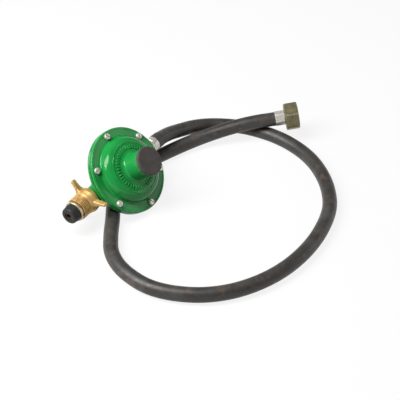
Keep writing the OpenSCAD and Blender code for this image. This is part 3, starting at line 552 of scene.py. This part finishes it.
def nut_radius(x, a):
    """The wing nut's outside in front of its hub: chamfered ring, neck, left-hand thread and shank."""
    x = -x
    if x > NUT_FRONT - 0.5:
        return THREAD_R - FRONT_DROP - 0.5 + (NUT_FRONT - x)
    if x > NUT_FRONT - FRONT_L:
        return THREAD_R - FRONT_DROP
    if x > THREAD_FRONT + 0.7:
        return THREAD_R - NECK_DROP
    if x > THREAD_FRONT:
        return THREAD_R - NECK_DROP + (THREAD_FRONT + 0.7 - x) / 0.7 * 0.9
    start = THREAD_FRONT - THREAD_L
    if x > start:
        return THREAD_R - thread_depth(x, a, -1, THREAD_DEEP, start + 0.3, THREAD_FRONT + 0.6)
    return THREAD_R


cavity = [(-SLEEVE_BACK, BORE), (-CAVITY_BACK, BORE), (-CAVITY_FULL, CAVITY_R), (-NUT_FRONT, CAVITY_R)]
sleeve = thread_grid("nut_sleeve", -NUT_FRONT, -SLEEVE_BACK, nut_radius, cavity, 120, PITCH / 12)

hub_profile = [(BORE, -54.6), (THREAD_R - 0.3, -54.6), (THREAD_R + 0.35, -54.2), (12.0, -51.6),
               (HUB_R, -WING_X), (HUB_R - 0.5, -45.2), (HUB_R - 0.9, -44.4), (HUB_R - 1.8, -NUT_BACK),
               (BORE, -NUT_BACK)]
hub = revolve_z("nut_hub", hub_profile, 96, ALONG_X, 30)


def wing_mesh(name, angle):
    """A lofted wing out to a round tip, from rows of (radius, half width, half thickness)."""
    verts, faces, sides = [], [], 20
    rows = [(8.0, 4.6, 3.9), (11.0, 4.4, 3.6), (13.0, 3.7, 3.0), (15.0, 3.05, 2.2), (17.5, 2.8, 1.8),
            (20.0, 2.75, 1.65), (22.0, 2.75, 1.6), (23.4, 2.65, 1.5), (24.1, 2.35, 1.25), (24.45, 1.6, 0.9)]
    for radius, half_w, half_t in rows:
        for k in range(sides):
            a = 2 * math.pi * k / sides
            c, s = math.cos(a), math.sin(a)
            verts.append((-WING_X + half_w * math.copysign(abs(c) ** WING_SQUARENESS, c), radius,
                          half_t * math.copysign(abs(s) ** WING_SQUARENESS, s)))
    verts.append((-WING_X, WING_R, 0))
    for i in range(len(rows) - 1):
        faces += ring_quads(i * sides, (i + 1) * sides, sides)
    faces.append(tuple(reversed(range(sides))))
    o = (len(rows) - 1) * sides
    for k in range(sides):
        faces.append((o + k, o + (k + 1) % sides, len(verts) - 1))
    return new_object(name, verts, faces, Matrix.Rotation(math.radians(angle), 4, "X"), 40)


casting = join("nut_casting", [hub] + [wing_mesh("wing", a) for a in WING_ANGLES], 40)
mod = casting.modifiers.new("remesh", "REMESH")
mod.mode = "VOXEL"
mod.voxel_size = 0.00035
mod = casting.modifiers.new("smooth", "SMOOTH")
mod.factor = 0.5
mod.iterations = 5
apply_modifiers(casting)
wing_nut = join("wing_nut_brass", [casting, sleeve], 38)
# built in mm along x round the origin, and now moved to the inlet
wing_nut.data.transform(Matrix.Scale(MM, 4) @ INLET @ Matrix.Scale(1 / MM, 4))
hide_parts("wing_nut")
finish(wing_nut, BRASS, "wing_nut")


def nut_face(_, c):
    """The machined front ring is brighter than the casting, and the thread's roots are painted darker as
    painted shade in the grooves.
    """
    if c.x < -(NUT_FRONT - FRONT_L):
        return 1
    in_roots = CAVITY_R + 0.5 < math.hypot(c.y, c.z) < THREAD_R - THREAD_DEEP / 2
    return 2 if in_roots and c.x < -(THREAD_FRONT - THREAD_L) else 0


paint_faces(wing_nut, (BRIGHT, ROOT_SHADE), INLET, nut_face)


# ---------------------------------------------------------------- the two springs
def coil(name, node):
    """A copy of the spring node's mesh, fixed where the node stood; the node itself is hidden."""
    ob = bpy.data.objects.new(name, nodes[node].data.copy())
    scene.collection.objects.link(ob)
    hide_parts(node)
    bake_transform(ob)


coil("main_coil", "main_spring")
coil("relief_coil", "relief_spring")

# ---------------------------------------------------------------- swivel nut with its inside thread
HEX_X, HEX_L, HEX_BACK, HEX_BORE_R, HEX_ACROSS = 10.6, 13.8, 2.4, 9.32, 27
HEX_END = HEX_X + HEX_L
HEX_CORNER_R = HEX_ACROSS / 2 / math.cos(math.radians(30))
LOOSE, TAIL_COLLAR, WASHER_T, RELIEF, LINING_LAP = 0.3, 2.6, 1.5, 0.1, 0.3
LINING_X = HEX_X + HEX_BACK + LOOSE + TAIL_COLLAR + WASHER_T + RELIEF - LINING_LAP
CUT_R, LINING_R, MOUTH_R, LINING_DEPTH = 10.45, 10.47, 10.75, 0.95
CORNER_BEVEL = 0.0006                                             # metres
swivel = bpy.data.objects.new("swivel_nut_plated", nodes["swivel_nut"].data.copy())
scene.collection.objects.link(swivel)
weld = swivel.modifiers.new("weld", "WELD")
weld.merge_threshold = 0.00001
apply_modifiers(swivel)


def round_corners(ob, size):
    """A small bevel along the six long corners of the hexagon."""
    bm = bmesh.new()
    bm.from_mesh(ob.data)
    bmesh.ops.dissolve_limit(bm, angle_limit=math.radians(1), verts=bm.verts, edges=bm.edges)
    long_corners = []
    for e in bm.edges:
        run = e.verts[1].co - e.verts[0].co
        if len(e.link_faces) != 2 or run.length < 0.006:
            continue
        turn = e.link_faces[0].normal.angle(e.link_faces[1].normal, 0)
        if abs(run.normalized().dot(END_DIR)) > 0.99 and 0.9 < turn < 1.2:
            long_corners.append(e)
    bmesh.ops.bevel(bm, geom=long_corners, offset=size, segments=3, profile=0.5, affect="EDGES")
    bm.to_mesh(ob.data)
    bm.free()


round_corners(swivel, CORNER_BEVEL)
bore_profile = [(0, LINING_X), (CUT_R, LINING_X), (CUT_R, HEX_END - 1.3), (10.9, HEX_END + 0.5),
                (0, HEX_END + 0.5)]
cut(swivel, revolve_z("bore_cut", bore_profile, 72, END @ ALONG_X))


def bore_radius(x, a):
    """The swivel nut's inside: a right-hand thread with a flared mouth."""
    if x > HEX_END - 0.8:
        return HEX_BORE_R + 1.1 - (HEX_END - x) * 0.9
    return HEX_BORE_R + thread_depth(x, a, 1, LINING_DEPTH, LINING_X, HEX_END - 0.4)


lining_back = [(HEX_END - 0.02, MOUTH_R), (HEX_END - 1.3, LINING_R), (LINING_X, LINING_R)]
lining = thread_grid("nut_lining", LINING_X, HEX_END - 0.02, bore_radius, lining_back, 96, PITCH / 10, END)
swivel = join("swivel_nut_plated", [swivel, lining], 28)
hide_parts("swivel_nut")
finish(swivel, OLIVE, "swivel_nut")


def hex_face(poly, c):
    """The hexagon's long corners get a bright colour, a painted highlight along the ridges."""
    at_corner = math.hypot(c.y, c.z) > HEX_CORNER_R - 0.5
    return 1 if at_corner and abs(poly.normal.dot(END_DIR)) < 0.1 else 0


paint_faces(swivel, (CORNER_HIGHLIGHT,), END, hex_face)

# ---------------------------------------------------------------- floor, world and lights
HALF_FLOOR, FLOOR_GLOW, FLOOR_SEEN, FLOOR_BOUNCE = 4, 0.86, 0.9, 0.16
SKY_WHITE_TO, SKY_GREY_FROM, SKY_GREY = 0.165, 0.21, 0.12


def grey(value):
    return (value, value, value, 1)


def seen(tree):
    """1 on the rays that show a backdrop: from the camera, in a gloss and through a clear piece."""
    rays = tree.nodes.new("ShaderNodeLightPath").outputs
    out = rays["Is Camera Ray"]
    for name in ("Is Glossy Ray", "Is Transmission Ray"):
        either = tree.nodes.new("ShaderNodeMath")
        either.operation = "MAXIMUM"
        tree.links.new(out, either.inputs[0])
        tree.links.new(rays[name], either.inputs[1])
        out = either.outputs[0]
    return out


corners = [(x * HALF_FLOOR, y * HALF_FLOOR, 0) for x, y in ((-1, -1), (1, -1), (1, 1), (-1, 1))]
floor_mesh = bpy.data.meshes.new("floor")
floor_mesh.from_pydata(corners, [], [(0, 1, 2, 3)])
floor = bpy.data.objects.new("floor", floor_mesh)
scene.collection.objects.link(floor)
floor_paint = Shade("floor_white")
floor_paint.const(Roughness=0.9, Specular_IOR_Level=0.0)
tree = floor_paint.t
view_ray = seen(tree)
# pale where it is seen, and darker where it would throw light up at the object
floor_paint.link(floor_paint.mix(view_ray, grey(FLOOR_BOUNCE), grey(FLOOR_SEEN)), "Base Color")
glow = tree.nodes.new("ShaderNodeEmission")
glow.inputs["Strength"].default_value = 1.0
share = tree.nodes.new("ShaderNodeMath")
share.operation = "MULTIPLY"
share.inputs[1].default_value = FLOOR_GLOW
tree.links.new(view_ray, share.inputs[0])
both = tree.nodes.new("ShaderNodeMixShader")
tree.links.new(share.outputs[0], both.inputs[0])
tree.links.new(floor_paint.p.outputs[0], both.inputs[1])
tree.links.new(glow.outputs[0], both.inputs[2])
tree.links.new(both.outputs[0], tree.nodes["Material Output"].inputs["Surface"])
floor.data.materials.append(floor_paint.mat)
floor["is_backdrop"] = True

# white round the horizon, where low views see it, and darker overhead
world = bpy.data.worlds.new("world")
scene.world = world
world.use_nodes = True
wt = world.node_tree
split = wt.nodes.new("ShaderNodeSeparateXYZ")
wt.links.new(wt.nodes.new("ShaderNodeTexCoord").outputs["Generated"], split.inputs[0])
sky = wt.nodes.new("ShaderNodeValToRGB")
sky.color_ramp.elements[0].position = SKY_WHITE_TO
sky.color_ramp.elements[0].color = grey(1)
sky.color_ramp.elements[1].position = SKY_GREY_FROM
sky.color_ramp.elements[1].color = grey(SKY_GREY)
wt.links.new(split.outputs["Z"], sky.inputs["Fac"])
wt.links.new(sky.outputs["Color"], wt.nodes["Background"].inputs["Color"])
wt.nodes["Background"].inputs["Strength"].default_value = 1.0


def area(name, where, target, size, power):
    """A rectangular light that faces the target."""
    data = bpy.data.lights.new(name, "AREA")
    data.shape = "RECTANGLE"
    data.size, data.size_y = size
    data.energy = power
    ob = bpy.data.objects.new(name, data)
    scene.collection.objects.link(ob)
    ob.location = where
    ob.rotation_euler = (Vector(target) - Vector(where)).to_track_quat("-Z", "Y").to_euler()


mid = Vector((0.03, -0.06, 0.02))
area("key", mid + 1.1 * Vector((-0.46, 0.36, 0.82)), mid, (0.45, 0.95), 18)
area("fill", mid + 1.3 * Vector((0.635, -0.697, 0.334)), mid, (0.55, 0.55), 1.4)


def plain(v):
    """Vectors and tuples as plain lists of numbers."""
    try:
        return float(v)
    except TypeError:
        return [plain(v[i]) for i in range(len(v))]


bpy.context.view_layer.update()
{"cad": plain(cad_bounds), "visual": plain(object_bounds())}
